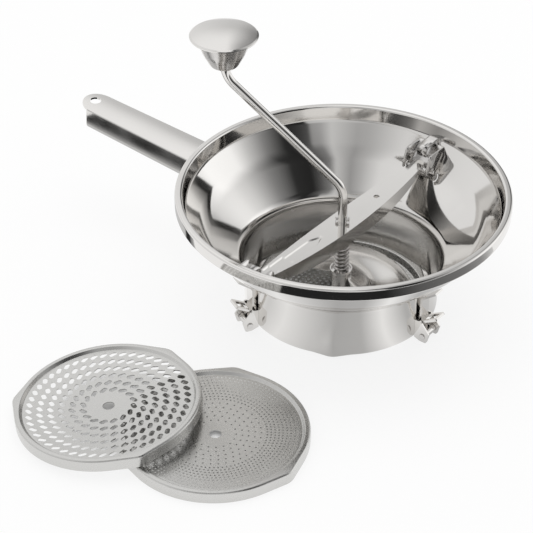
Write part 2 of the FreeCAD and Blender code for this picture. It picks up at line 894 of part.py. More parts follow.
def make_blade():
    """Sheet blade that winds down round the hub from a raised leading edge to the sieve."""
    wires = [blade_section(k / (blade_sections - 1)) for k in range(blade_sections)]
    blade = Part.makeLoft(wires, True, False)
    blade = blade.cut(disc_solid(hub_radius, -5, 60))
    return blade


# ---- folding feet -------------------------------------------------------------------------

def foot_pivot():
    return V(base_radius + foot_pivot_out, 0, foot_pivot_height)


def make_foot_bracket():
    """U-shaped bracket welded to the base: a plate on the wall and two cheeks for the rivet."""
    t = foot_sheet
    wall = base_radius + weld_gap
    high = foot_plate_high - foot_plate_low
    plate = Part.makeBox(t + 1, foot_width, high, V(wall - 1, -foot_width / 2, foot_plate_low))
    plate = plate.cut(disc_solid(wall, -1, foot_plate_high + 1))
    pivot = foot_pivot()
    shape = closed_face([
        (wall, foot_plate_low, 0),
        (wall, foot_plate_high, 0),
        (wall + 4.0, foot_plate_high + 0.8, 1.5),
        (pivot.x + 5.6, pivot.z + 3.4, 1.5),
        (pivot.x + 3.4, pivot.z - 4.6, 2.0),
        (pivot.x - 2.0, pivot.z - 4.6, 2.0),
    ])
    bracket = plate
    for hand in (-1, 1):
        cheek = shape.copy()
        cheek.translate(V(0, hand * (foot_width / 2 - t / 2) + t / 2, 0))
        bracket = bracket.fuse(cheek.extrude(V(0, -t, 0)).cut(disc_solid(wall, -1, foot_plate_high + 2)))
    bore = Part.makeCylinder(foot_rivet_radius, foot_width + 2, pivot - V(0, foot_width / 2 + 1, 0), V(0, 1, 0))
    return bracket.removeSplitter().cut(bore)


def make_foot_rivet():
    pivot = foot_pivot()
    half = foot_width / 2
    rivet = Part.makeCylinder(foot_rivet_radius, foot_width, pivot - V(0, half, 0), V(0, 1, 0))
    for hand in (-1, 1):
        head = Part.makeCylinder(foot_rivet_head, foot_rivet_head_height, pivot + V(0, hand * half, 0),
                                 V(0, hand, 0))
        outer = [e for e in head.Edges if e.Closed and abs(e.BoundBox.YMin) > half + foot_rivet_head_height / 2
                 and abs(e.BoundBox.YMax) > half + foot_rivet_head_height / 2]
        head = head.makeFillet(foot_rivet_head_height * 0.7, outer)
        rivet = rivet.fuse(head)
    return rivet.removeSplitter()


def make_foot_leg():
    """Folding foot: a barrel on the rivet, a strap up the wall and a square loop that hooks a pot."""
    pivot = foot_pivot()
    inner_half = foot_width / 2 - foot_sheet - foot_side_gap
    barrel = Part.makeCylinder(foot_barrel, 2 * inner_half, pivot - V(0, inner_half, 0), V(0, 1, 0))
    strap_x = base_radius + leg_stand_off
    end_turn = math.radians(leg_end_angle)
    path = [
        (strap_x, pivot.z, 0),
        (strap_x, leg_bend_height, 5.0),
        (strap_x + leg_end_length * math.cos(end_turn), leg_bend_height + leg_end_length * math.sin(end_turn), 0),
    ]
    strap = sheet_face(path, leg_sheet)
    strap.translate(V(0, leg_width / 2, 0))
    strap = strap.extrude(V(0, -leg_width, 0))
    root = Part.makeBox(pivot.x - strap_x, leg_width, foot_barrel, V(strap_x, -leg_width / 2, pivot.z))
    frame = Part.makeBox(loop_length, loop_width, loop_sheet, V(0, -loop_width / 2, 0))
    corners = [e for e in frame.Edges if e.BoundBox.ZLength > loop_sheet / 2 and e.BoundBox.XMin > 1]
    frame = frame.makeFillet(1.5, corners)
    opening = loop_length - loop_bar - 2 * leg_sheet
    window = Part.makeBox(opening - loop_bar, loop_width - 2 * loop_bar, 3 * loop_sheet,
                          V(2 * leg_sheet + loop_bar, -loop_width / 2 + loop_bar, -loop_sheet))
    frame = frame.cut(window)
    frame.rotate(ORIGIN, V(0, 1, 0), -loop_rise)
    frame.translate(V(strap_x + 0.6, 0, loop_height))
    leg = merged(barrel, root, strap, frame)
    bore = Part.makeCylinder(foot_rivet_radius + pin_fit, foot_width, pivot - V(0, foot_width / 2, 0), V(0, 1, 0))
    return leg.cut(bore)


# ---- assembly -----------------------------------------------------------------------------

def solid_of(shape):
    """The single solid of a finished piece."""
    solids = shape.Solids
    if len(solids) != 1:
        print("pieces in one shape:", len(solids), [round(s.Volume, 2) for s in solids])
    return solids[0] if len(solids) == 1 else Part.makeCompound(solids)


def build():
    nodes = {}
    nodes["bowl"] = make_bowl()
    medium = make_disc(holes_on_rings(medium_hole, medium_rings, medium_pitch))
    medium.translate(V(0, 0, bowl_sheet))
    nodes["sieve_disc_medium"] = medium
    fine_holes = holes_on_rings(fine_hole, fine_inner_rings, fine_inner_pitch)
    fine_holes += holes_on_rings(fine_hole, fine_outer_rings, fine_outer_pitch)
    fine = turn_z(make_disc(fine_holes), fine_disc_turn - lobe_start)
    fine.translate(V(fine_disc_x, fine_disc_y, 0))
    nodes["sieve_disc_fine"] = fine
    coarse = turn_z(make_disc(slots_on_rings()), coarse_disc_turn - lobe_start)
    nodes["sieve_disc_coarse"] = lean_disc(coarse)
    nodes["handle_plate"] = make_handle_plate()
    nodes["handle_shell"] = make_handle_shell()
    nodes["handle_saddle"] = make_handle_saddle()
    nodes["bridge_bar"] = make_bridge_bar()
    nodes["bridge_bush"] = make_bridge_bush()
    for name, side in (("far", 1), ("near", -1)):
        nodes["bridge_pin_" + name] = make_end_pin(side)
        nodes["bowl_bracket_" + name] = make_bracket(side)
    nodes["crank_rod"] = make_crank_rod()
    nodes["crank_stop_pin"] = make_stop_pin()
    nodes["knob_cap"] = make_knob_cap()
    nodes["knob_cup"] = make_knob_cup()
    nodes["knob_sleeve"] = make_knob_sleeve()
    nodes["knob_collar"] = make_knob_collar()
    nodes["knob_retainer"] = make_knob_retainer()
    nodes["spring"] = make_spring()
    nodes["spring_washer"] = make_spring_washer()
    nodes["spring_cup"] = make_spring_cup()
    nodes["agitator_hub"] = make_hub()
    nodes["agitator_hub_pin"] = make_hub_pin()
    nodes["agitator_blade"] = make_blade()
    for k, turn in enumerate(foot_angles):
        nodes["foot_bracket_%d" % (k + 1)] = turn_z(make_foot_bracket(), turn)
        nodes["foot_rivet_%d" % (k + 1)] = turn_z(make_foot_rivet(), turn)
        nodes["foot_leg_%d" % (k + 1)] = turn_z(make_foot_leg(), turn)
    return nodes


os.makedirs("parts", exist_ok=True)
for name, shape in build().items():
    piece = solid_of(shape)
    if not piece.isValid():
        print("not valid:", name)
    piece.exportStep("parts/%s.step" % name)
    print(name, round(piece.Volume, 1), len(piece.Faces))
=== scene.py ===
import math

import bmesh
import bpy
from mathutils import Matrix, Vector, geometry


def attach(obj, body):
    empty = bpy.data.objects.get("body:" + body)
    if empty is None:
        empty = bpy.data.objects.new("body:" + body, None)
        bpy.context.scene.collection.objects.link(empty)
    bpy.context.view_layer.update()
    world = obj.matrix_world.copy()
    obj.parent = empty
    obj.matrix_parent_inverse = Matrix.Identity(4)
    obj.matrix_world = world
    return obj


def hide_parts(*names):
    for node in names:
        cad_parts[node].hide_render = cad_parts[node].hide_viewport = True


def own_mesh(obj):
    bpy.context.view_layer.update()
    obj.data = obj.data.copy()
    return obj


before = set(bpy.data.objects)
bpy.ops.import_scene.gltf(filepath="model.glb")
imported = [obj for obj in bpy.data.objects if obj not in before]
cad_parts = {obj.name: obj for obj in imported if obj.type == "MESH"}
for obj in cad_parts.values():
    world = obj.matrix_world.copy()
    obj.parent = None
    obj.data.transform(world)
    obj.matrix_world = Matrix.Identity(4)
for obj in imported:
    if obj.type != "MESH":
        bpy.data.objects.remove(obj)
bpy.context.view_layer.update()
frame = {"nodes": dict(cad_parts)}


# Camera
# A long lens looks down at the mill from the front, a little to the right of the bridge's line.
# Colours come out as they are written.
scene = bpy.context.scene
scene.view_settings.view_transform = "Standard"
camera_data = bpy.data.cameras.new("camera")
camera_data.sensor_width = 36.0
camera_data.lens = 125.2
camera = bpy.data.objects.new("camera", camera_data)
scene.collection.objects.link(camera)
scene.camera = camera
camera.location = (0.6151, -0.9119, 0.8247)
camera_aim = Vector((-0.4855, 0.6479, -0.5869))
camera.rotation_mode = "QUATERNION"
camera.rotation_quaternion = camera_aim.to_track_quat("-Z", "Y")


# Studio: floor, surroundings and lamps
# A white table inside a tent whose cloth is bright on some sides and dark on others. The tent, a
# dark card low in front and two patches of painted shade on the table are seen by the steel alone,
# which takes its streaks from them. The table's glow is turned down under the mill and the discs, a
# painted shadow that lets the real shadow show there, so their holes look dark.
MM = 0.001


def new_material(name):
    material = bpy.data.materials.new(name)
    material.use_nodes = True
    material.node_tree.nodes.clear()
    return material, material.node_tree.nodes, material.node_tree.links


def new_object(name, bm, material, smooth=True):
    mesh = bpy.data.meshes.new(name)
    bm.to_mesh(mesh)
    bm.free()
    mesh.materials.append(material)
    for polygon in mesh.polygons:
        polygon.use_smooth = smooth
    made = bpy.data.objects.new(name, mesh)
    scene.collection.objects.link(made)
    return made


def seen_rays(nodes, links):
    """One where the camera, polished metal or glass looks, and none for light on a dull surface."""
    rays = nodes.new("ShaderNodeLightPath")
    total = rays.outputs["Is Camera Ray"]
    for kind in ("Is Glossy Ray", "Is Transmission Ray"):
        add = nodes.new("ShaderNodeMath")
        add.operation = "ADD"
        add.use_clamp = True
        links.new(total, add.inputs[0])
        links.new(rays.outputs[kind], add.inputs[1])
        total = add.outputs[0]
    return total


def grey_ramp(nodes, links, position, stops):
    """Grey that follows a position through a list of (place, brightness)."""
    ramp = nodes.new("ShaderNodeValToRGB")
    ramp.color_ramp.interpolation = "LINEAR"
    links.new(position, ramp.inputs["Fac"])
    keys = ramp.color_ramp.elements
    while len(keys) < len(stops):
        keys.new(0.5)
    for key, (place, grey) in zip(keys, stops):
        key.position = place
        key.color = (grey, grey, grey, 1)
    return ramp.outputs["Color"]


# Painted shadow: by place, the table's glow falls to a tenth of its share under the mill and the discs,
# so that the real shadow shows there.
table_glow, shaded_glow = 0.82, 0.1
shaded_spots = ((0, 0, 48, 68), (23.0, -175.0, 52, 64), (-46.0, -197.0, 34, 50))

floor_material, floor_nodes, floor_links = new_material("table_white")
floor_out = floor_nodes.new("ShaderNodeOutputMaterial")
floor_mix = floor_nodes.new("ShaderNodeMixShader")
floor_paper = floor_nodes.new("ShaderNodeBsdfDiffuse")
floor_paper.inputs["Color"].default_value = (0.9, 0.9, 0.9, 1)
floor_white = floor_nodes.new("ShaderNodeEmission")
floor_white.inputs["Strength"].default_value = 1.0
floor_share = floor_nodes.new("ShaderNodeMath")
floor_share.operation = "MULTIPLY"
floor_share.inputs[1].default_value = table_glow
floor_place = floor_nodes.new("ShaderNodeTexCoord")
floor_seen = seen_rays(floor_nodes, floor_links)
for middle_x, middle_y, dull, bright in shaded_spots:
    floor_away = floor_nodes.new("ShaderNodeVectorMath")
    floor_away.operation = "DISTANCE"
    floor_away.inputs[1].default_value = (middle_x * MM, middle_y * MM, 0)
    floor_links.new(floor_place.outputs["Object"], floor_away.inputs[0])
    floor_under = floor_nodes.new("ShaderNodeMapRange")
    floor_under.interpolation_type = "SMOOTHSTEP"
    floor_under.inputs["From Min"].default_value = dull * MM
    floor_under.inputs["From Max"].default_value = bright * MM
    floor_under.inputs["To Min"].default_value = shaded_glow
    floor_links.new(floor_away.outputs["Value"], floor_under.inputs["Value"])
    floor_less = floor_nodes.new("ShaderNodeMath")
    floor_less.operation = "MULTIPLY"
    floor_links.new(floor_seen, floor_less.inputs[0])
    floor_links.new(floor_under.outputs[0], floor_less.inputs[1])
    floor_seen = floor_less.outputs[0]
floor_links.new(floor_seen, floor_share.inputs[0])
floor_links.new(floor_share.outputs[0], floor_mix.inputs["Fac"])
floor_links.new(floor_paper.outputs[0], floor_mix.inputs[1])
floor_links.new(floor_white.outputs[0], floor_mix.inputs[2])
floor_links.new(floor_mix.outputs[0], floor_out.inputs["Surface"])

floor_bm = bmesh.new()
bmesh.ops.create_circle(floor_bm, cap_ends=True, segments=64, radius=6.0)
bmesh.ops.translate(floor_bm, verts=floor_bm.verts, vec=(0, 0, -0.0003))
floor = new_object("table", floor_bm, floor_material)

world = bpy.data.worlds.new("studio")
scene.world = world
world.use_nodes = True
sky_nodes, sky_links = world.node_tree.nodes, world.node_tree.links
sky_nodes.clear()
sky_out = sky_nodes.new("ShaderNodeOutputWorld")
sky_mix = sky_nodes.new("ShaderNodeMixShader")
sky_plain = sky_nodes.new("ShaderNodeBackground")
sky_plain.inputs["Color"].default_value = (1, 1, 1, 1)
sky_soft = sky_nodes.new("ShaderNodeBackground")
sky_soft.inputs["Color"].default_value = (1, 1, 1, 1)
sky_soft.inputs["Strength"].default_value = 0.85
sky_links.new(seen_rays(sky_nodes, sky_links), sky_mix.inputs["Fac"])
sky_links.new(sky_soft.outputs[0], sky_mix.inputs[1])
sky_links.new(sky_plain.outputs[0], sky_mix.inputs[2])
sky_links.new(sky_mix.outputs[0], sky_out.inputs["Surface"])


def only_in_metal(card):
    """A card that the steel reflects, and that neither the camera nor the table notices."""
    card.visible_camera = False
    card.visible_diffuse = False
    card.visible_shadow = False


def turn_share(degrees):
    """Place of a direction on a ramp that goes once round the upright axis."""
    return (degrees % 360 + 180) % 360 / 360


def round_place(nodes, links):
    """Share of a full turn round the upright axis."""
    place = nodes.new("ShaderNodeTexCoord")
    turn = nodes.new("ShaderNodeTexGradient")
    turn.gradient_type = "RADIAL"
    links.new(place.outputs["Object"], turn.inputs["Vector"])
    return turn.outputs["Fac"]


def plain_glow(nodes, links, colour):
    """Glow of a colour that follows the place."""
    glow = nodes.new("ShaderNodeEmission")
    links.new(colour, glow.inputs["Color"])
    return glow.outputs[0]


def cover(nodes, links, shader):
    """Make a shader the surface of its material."""
    out = nodes.new("ShaderNodeOutputMaterial")
    links.new(shader, out.inputs["Surface"])


tent_radius = 5.5
tent_material, tent_nodes, tent_links = new_material("tent_cloth")
tent_round = round_place(tent_nodes, tent_links)
tent_low = grey_ramp(tent_nodes, tent_links, tent_round, [
    (turn_share(-170), 0.85), (turn_share(-105), 0.72), (turn_share(-75), 0.5), (turn_share(-45), 0.68),
    (turn_share(-29), 0.56), (turn_share(-26.5), 0.02), (turn_share(-6), 0.03), (turn_share(10), 0.32),
    (turn_share(24), 0.68), (turn_share(36), 1.1), (turn_share(60), 1.2), (turn_share(80), 0.8),
    (turn_share(93), 0.12), (turn_share(107), 0.15), (turn_share(122), 0.62), (turn_share(145), 0.85)])
tent_high = grey_ramp(tent_nodes, tent_links, tent_round, [
    (turn_share(-170), 0.9), (turn_share(-105), 0.8), (turn_share(-82), 0.5), (turn_share(-66), 0.35),
    (turn_share(-45), 0.6), (turn_share(-36), 0.22), (turn_share(-20), 0.08), (turn_share(-10), 0.02),
    (turn_share(10), 0.03), (turn_share(30), 0.25), (turn_share(50), 0.6), (turn_share(80), 0.6),
    (turn_share(95), 0.18), (turn_share(109), 0.45), (turn_share(126), 1.0), (turn_share(165), 1.0)])
tent_place = tent_nodes.new("ShaderNodeTexCoord")
tent_split = tent_nodes.new("ShaderNodeSeparateXYZ")
tent_links.new(tent_place.outputs["Object"], tent_split.inputs[0])
tent_rise = tent_nodes.new("ShaderNodeMapRange")
tent_rise.interpolation_type = "SMOOTHSTEP"
tent_rise.inputs["From Min"].default_value = tent_radius * math.sin(math.radians(22))
tent_rise.inputs["From Max"].default_value = tent_radius * math.sin(math.radians(52))
tent_links.new(tent_split.outputs["Z"], tent_rise.inputs["Value"])
tent_both = tent_nodes.new("ShaderNodeMix")
tent_both.data_type = "RGBA"
tent_links.new(tent_rise.outputs[0], tent_both.inputs["Factor"])
tent_links.new(tent_low, tent_both.inputs["A"])
tent_links.new(tent_high, tent_both.inputs["B"])
cover(tent_nodes, tent_links, plain_glow(tent_nodes, tent_links, tent_both.outputs["Result"]))

tent_bm = bmesh.new()
tent_foot = tent_bm.verts.new((tent_radius, 0, 0.001))
bmesh.ops.spin(tent_bm, geom=[tent_foot], cent=(0, 0, 0), axis=(0, -1, 0), angle=math.radians(74),
               steps=20, use_merge=False, use_duplicate=False)
bmesh.ops.spin(tent_bm, geom=tent_bm.verts[:] + tent_bm.edges[:], cent=(0, 0, 0), axis=(0, 0, 1),
               angle=2 * math.pi, steps=96, use_merge=True, use_duplicate=False)
only_in_metal(new_object("tent", tent_bm, tent_material))

card_material, card_nodes, card_links = new_material("front_card")
card_grey = grey_ramp(card_nodes, card_links, round_place(card_nodes, card_links), [
    (turn_share(-90), 0.02), (turn_share(-35), 0.02), (turn_share(-18), 0.11), (turn_share(8), 0.2),
    (turn_share(20), 0.3), (turn_share(30), 0.65)])
card_clear = card_nodes.new("ShaderNodeBsdfTransparent")
card_side = card_nodes.new("ShaderNodeNewGeometry")
card_mix = card_nodes.new("ShaderNodeMixShader")
card_links.new(card_side.outputs["Backfacing"], card_mix.inputs["Fac"])
card_links.new(plain_glow(card_nodes, card_links, card_grey), card_mix.inputs[1])
card_links.new(card_clear.outputs[0], card_mix.inputs[2])
cover(card_nodes, card_links, card_mix.outputs[0])

card_bm = bmesh.new()
card_turn, card_sweep = math.radians(-84), math.radians(114)
card_height = 0.03
card_ends = [card_bm.verts.new((out * math.cos(card_turn), out * math.sin(card_turn), card_height))
             for out in (0.17, 0.5)]
card_edge = card_bm.edges.new(card_ends)
bmesh.ops.spin(card_bm, geom=card_ends + [card_edge], cent=(0, 0, 0), axis=(0, 0, 1),
               angle=card_sweep, steps=38, use_merge=False, use_duplicate=False)
bmesh.ops.recalc_face_normals(card_bm, faces=card_bm.faces)
if card_bm.faces[:][0].normal.z < 0:
    bmesh.ops.reverse_faces(card_bm, faces=card_bm.faces)
only_in_metal(new_object("front_card", card_bm, card_material, smooth=False))

# Painted shade: a ring on the table round the base, grey by direction, that only the steel sees, so the
# base wall shows a painted reflection of shaded table.
ring_material, ring_nodes, ring_links = new_material("painted_shade_round_base")
ring_painted_shade = grey_ramp(ring_nodes, ring_links, round_place(ring_nodes, ring_links), [
    (turn_share(-170), 0.9), (turn_share(-140), 1.0), (turn_share(-118), 0.72), (turn_share(-100), 0.92),
    (turn_share(-78), 0.68), (turn_share(-58), 0.46), (turn_share(-40), 0.5), (turn_share(-22), 0.95),
    (turn_share(-12), 0.75), (turn_share(0), 0.5), (turn_share(18), 0.62), (turn_share(60), 0.9)])
cover(ring_nodes, ring_links, plain_glow(ring_nodes, ring_links, ring_painted_shade))
ring_bm = bmesh.new()
ring_ends = [ring_bm.verts.new((out, 0, 0.0001)) for out in (0.045, 0.14)]
ring_edge = ring_bm.edges.new(ring_ends)
bmesh.ops.spin(ring_bm, geom=ring_ends + [ring_edge], cent=(0, 0, 0), axis=(0, 0, 1),
               angle=2 * math.pi, steps=72, use_merge=True, use_duplicate=False)
only_in_metal(new_object("painted_shade_round_base", ring_bm, ring_material, smooth=False))

# Painted shade: a grey band on the table under the handle that only the steel sees, so the handle's
# trough shows a painted dark reflection along its side.
patch_material, patch_nodes, patch_links = new_material("painted_shade_under_handle")
patch_place = patch_nodes.new("ShaderNodeTexCoord")
patch_split = patch_nodes.new("ShaderNodeSeparateXYZ")
patch_links.new(patch_place.outputs["Object"], patch_split.inputs[0])
patch_span = patch_nodes.new("ShaderNodeMapRange")
patch_span.inputs["From Min"].default_value = -0.118
patch_span.inputs["From Max"].default_value = 0.027
patch_slant = patch_nodes.new("ShaderNodeMath")
patch_slant.operation = "MULTIPLY_ADD"
patch_slant.inputs[1].default_value = -0.05
patch_links.new(patch_split.outputs["X"], patch_slant.inputs[0])
patch_links.new(patch_split.outputs["Y"], patch_slant.inputs[2])
patch_links.new(patch_slant.outputs[0], patch_span.inputs["Value"])
patch_painted_shade = grey_ramp(patch_nodes, patch_links, patch_span.outputs[0], [
    (0.0, 0.5), (0.12, 0.35), (0.19, 0.02), (0.296, 0.03), (0.314, 0.25), (0.338, 0.55),
    (0.379, 0.62), (1.0, 0.6)])
cover(patch_nodes, patch_links, plain_glow(patch_nodes, patch_links, patch_painted_shade))
patch_bm = bmesh.new()
bmesh.ops.create_grid(patch_bm, x_segments=1, y_segments=1, size=0.5)
bmesh.ops.scale(patch_bm, verts=patch_bm.verts, vec=(0.18, 0.17, 1))
bmesh.ops.translate(patch_bm, verts=patch_bm.verts, vec=(-0.232, -0.033, 0.0002))
only_in_metal(new_object("painted_shade_under_handle", patch_bm, patch_material, smooth=False))


lamp_data = bpy.data.lights.new("soft_box_top", "AREA")
lamp_data.shape = "RECTANGLE"
lamp_data.size = 1.8
lamp_data.size_y = 1.4
lamp_data.energy = 10
lamp = bpy.data.objects.new("soft_box_top", lamp_data)
scene.collection.objects.link(lamp)
lamp.location = (-0.2, 0.3, 1.9)
lamp_aim = Vector((0, 0, 0.05))
lamp.rotation_mode = "QUATERNION"
lamp.rotation_quaternion = (lamp_aim - lamp.location).to_track_quat("-Z", "Y")
lamp.visible_glossy = False


# Polished steel finishes
# Stainless steel as these mills have it: buffed to a mirror on the sheet and rod, satin on the
# sieves, turned parts and wire, with polishing lines, smears from handling and slow waves.
def polish_group():
    """Fine scratches, smears and slow waves of buffed sheet, as roughness and height."""
    group = bpy.data.node_groups.new("buffed_steel", "ShaderNodeTree")
    face = group.interface
    face.new_socket("Vector", in_out="INPUT", socket_type="NodeSocketVector")
    for label, value in (("Rough Low", 0.05), ("Rough High", 0.2), ("Line Depth", 0.2),
                         ("Wave Depth", 0.3), ("Tone", 0.05)):
        made = face.new_socket(label, in_out="INPUT", socket_type="NodeSocketFloat")
        made.default_value = value
    for label in ("Roughness", "Height", "Shade"):
        face.new_socket(label, in_out="OUTPUT", socket_type="NodeSocketFloat")
    n, l = group.nodes, group.links
    ins, outs = n.new("NodeGroupInput"), n.new("NodeGroupOutput")

    def noise(scale, detail, stretch=(1, 1, 1)):
        size = n.new("ShaderNodeVectorMath")
        size.operation = "MULTIPLY"
        size.inputs[1].default_value = stretch
        l.new(ins.outputs["Vector"], size.inputs[0])
        made = n.new("ShaderNodeTexNoise")
        made.inputs["Scale"].default_value = scale
        made.inputs["Detail"].default_value = detail
        made.inputs["Roughness"].default_value = 0.5
        l.new(size.outputs[0], made.inputs["Vector"])
        return made.outputs["Fac"]

    def math_node(kind, a, b, c=None):
        made = n.new("ShaderNodeMath")
        made.operation = kind
        for socket, value in zip(made.inputs, (a, b, c)):
            if value is None:
                continue
            if isinstance(value, (int, float)):
                socket.default_value = value
            else:
                l.new(value, socket)
        return made.outputs[0]

    smears = noise(28, 4)
    grit = noise(900, 2)
    waves = noise(16, 1.5)
    lines = noise(240, 3, (1, 1, 0.04))
    mix = math_node("MULTIPLY_ADD", grit, 0.25, math_node("MULTIPLY", smears, 0.75))
    spread = n.new("ShaderNodeMapRange")
    spread.inputs["From Min"].default_value = 0.35
    spread.inputs["From Max"].default_value = 0.68
    l.new(mix, spread.inputs["Value"])
    l.new(ins.outputs["Rough Low"], spread.inputs["To Min"])
    l.new(ins.outputs["Rough High"], spread.inputs["To Max"])
    l.new(spread.outputs[0], outs.inputs["Roughness"])
    height = math_node("MULTIPLY_ADD", waves, ins.outputs["Wave Depth"],
                       math_node("MULTIPLY", lines, ins.outputs["Line Depth"]))
    l.new(height, outs.inputs["Height"])
    tone = math_node("MULTIPLY", math_node("SUBTRACT", smears, 0.5), ins.outputs["Tone"])
    l.new(math_node("ADD", tone, 1.0), outs.inputs["Shade"])
    return group


buffed_steel = polish_group()


def steel(name, colour, rough, bump, lines=0.1, waves=0.3):
    """Steel with its own colour, roughness range and depth of polishing marks."""
    material, n, l = new_material(name)
    out = n.new("ShaderNodeOutputMaterial")
    bsdf = n.new("ShaderNodeBsdfPrincipled")
    bsdf.inputs["Metallic"].default_value = 1.0
    place = n.new("ShaderNodeTexCoord")
    marks = n.new("ShaderNodeGroup")
    marks.node_tree = buffed_steel
    for label, value in (("Rough Low", rough[0]), ("Rough High", rough[1]), ("Line Depth", lines),
                         ("Wave Depth", waves), ("Tone", 0.08)):
        marks.inputs[label].default_value = value
    l.new(place.outputs["Object"], marks.inputs["Vector"])
    shade = n.new("ShaderNodeMix")
    shade.data_type = "RGBA"
    shade.blend_type = "MULTIPLY"
    shade.inputs["Factor"].default_value = 1.0
    shade.inputs["A"].default_value = (*colour, 1)
    l.new(marks.outputs["Shade"], shade.inputs["B"])
    l.new(shade.outputs["Result"], bsdf.inputs["Base Color"])
    l.new(marks.outputs["Roughness"], bsdf.inputs["Roughness"])
    relief = n.new("ShaderNodeBump")
    relief.inputs["Strength"].default_value = 1.0
    relief.inputs["Distance"].default_value = bump * MM
    l.new(marks.outputs["Height"], relief.inputs["Height"])
    l.new(relief.outputs["Normal"], bsdf.inputs["Normal"])
    l.new(bsdf.outputs[0], out.inputs["Surface"])
    return material


# Bowl
# One sheet of stainless steel spun over a former: flat seat for the sieve, straight base with
# three pressed bulges, flaring wall, and a rim that is rolled over into a skirt.
bowl_steel = steel("bowl_mirror_steel", (0.80, 0.785, 0.765), (0.05, 0.10), bump=0.012, waves=0.2)


def bent_profile(bm, path, step):
    """Section line through corners (radius, height, bend), with bends in steps of so many degrees."""
    corners = [Vector((r, 0, z)) * MM for r, z, _ in path]
    last = bm.verts.new(corners[0])
    for index in range(1, len(path)):
        here, bend = corners[index], path[index][2] * MM
        if not bend:
            point = bm.verts.new(here)
            bm.edges.new((last, point))
            last = point
            continue
        before = (corners[index - 1] - here).normalized()
        after = (corners[index + 1] - here).normalized()
        half = before.angle(after) / 2
        centre = here + (before + after).normalized() * (bend / math.sin(half))
        point = bm.verts.new(here + before * (bend / math.tan(half)))
        bm.edges.new((last, point))
        turn = math.pi - 2 * half
        steps = max(2, math.ceil(math.degrees(turn) / step))
        swept = bmesh.ops.spin(bm, geom=[point], cent=centre, axis=(-before).cross(after).normalized(),
                               angle=turn, steps=steps, use_merge=False, use_duplicate=False)
        last = [v for v in swept["geom_last"] if isinstance(v, bmesh.types.BMVert)][0]


def lathe(bm, steps):
    """Turn the section once round, close the seam and poles, and point the faces one way."""
    bmesh.ops.spin(bm, geom=bm.verts[:] + bm.edges[:], cent=(0, 0, 0), axis=(0, 0, 1),
                   angle=2 * math.pi, steps=steps, use_merge=True, use_duplicate=False)
    bmesh.ops.remove_doubles(bm, verts=bm.verts, dist=0.001 * MM)
    bmesh.ops.recalc_face_normals(bm, faces=bm.faces)


def outward(bm, way):
    """Point a sheet's faces so that the one farthest along the way looks along it."""
    bm.normal_update()
    way = Vector(way)
    far = max(bm.faces, key=lambda f: f.calc_center_median().dot(way) + f.calc_area())
    if far.normal.dot(way) < 0:
        bmesh.ops.reverse_faces(bm, faces=bm.faces)


def thicken(piece, thickness):
    """Give a sheet its thickness on the side away from its faces."""
    wall = piece.modifiers.new("sheet", "SOLIDIFY")
    wall.thickness = thickness * MM
    wall.offset = -1.0
    wall.use_even_offset = True


def bake(piece):
    """Fix a piece's modifiers into its mesh."""
    shown = piece.evaluated_get(bpy.context.evaluated_depsgraph_get())
    finished = bpy.data.meshes.new_from_object(shown)
    piece.modifiers.clear()
    piece.data = finished


fold_angle = math.radians(35)


def settle(piece):
    """Fix a piece's modifiers into its mesh, and keep its folded edges crisp."""
    bake(piece)
    piece.data.set_sharp_from_angle(angle=fold_angle)


bulge_turns = (60, 180, 300)


def bulge(angle, radius, reach, bend):
    """Radius of the three-cornered outline at an angle: straight flanks with a rounded corner."""
    middle = reach - bend
    spread = math.acos((radius - bend) / middle)
    corner = math.atan2(bend * math.sin(spread), middle + bend * math.cos(spread))
    away = math.radians(min(abs((angle - turn + 180) % 360 - 180) for turn in bulge_turns))
    if away >= spread:
        return radius
    if away >= corner:
        return radius / math.cos(spread - away)
    return middle * math.cos(away) + math.sqrt(bend ** 2 - (middle * math.sin(away)) ** 2)


sheet = 0.8
base_radius, base_bend = 70.4, 4.2
bulge_foot, bulge_top = 8.0, 31.0
rim_radius, rim_top, skirt_low = 120.0, 95.7, 86.3
seat_line = [(57.0, sheet, 0), (66.0, sheet, 0), (base_radius, sheet, base_bend)]
base_line = [(base_radius, height, 0) for height in (bulge_foot, 14.0, 20.0, 26.0, bulge_top)]
flare_line = [(71.2, 41.8, 15.0), (99.6, 65.2, 45.0), (112.8, 84.4, 8.0)]
rim_line = [(114.8, rim_top, 1.8), (rim_radius, rim_top, 1.9), (rim_radius, skirt_low, 1.2),
            (117.4, skirt_low, 0)]
bowl_bm = bmesh.new()
bent_profile(bowl_bm, seat_line + base_line + flare_line + rim_line, step=4)
bowl_line = sorted((v.co.z / MM, v.co.x / MM) for v in bowl_bm.verts
                   if 36 * MM < v.co.z < 95 * MM)
lathe(bowl_bm, 240)
bulge_inside = 60.0
for vert in bowl_bm.verts:
    radius = math.hypot(vert.co.x, vert.co.y) / MM
    height = vert.co.z / MM
    if height > bulge_top + 0.5 or radius < bulge_inside:
        continue
    angle = math.degrees(math.atan2(vert.co.y, vert.co.x))
    fade = 1 - 0.06 * max(0.0, height - bulge_foot) / 23.0
    push = max(0.0, bulge(angle, 69.8, 73.2, 11.2) * fade - base_radius)
    push *= min(1.0, max(0.0, (radius - bulge_inside) / 9.0))
    vert.co.x *= (radius + push) / radius
    vert.co.y *= (radius + push) / radius
outward(bowl_bm, (0, 0, 1))
bowl = new_object("bowl_shell", bowl_bm, bowl_steel)
thicken(bowl, sheet)
settle(bowl)
base_satin = steel("bowl_base_satin_steel", (0.76, 0.745, 0.725), (0.2, 0.3), bump=0.01, waves=0.1)
bowl.data.materials.append(base_satin)
satin_top = 37.5
for face in bowl.data.polygons:
    outwards = Vector((face.center.x, face.center.y, 0))
    inside = face.normal.dot(outwards) < 0 or face.normal.z > 0.9
    if face.center.z < satin_top * MM and inside:
        face.material_index = 1
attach(bowl, "mill_body")
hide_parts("bowl")


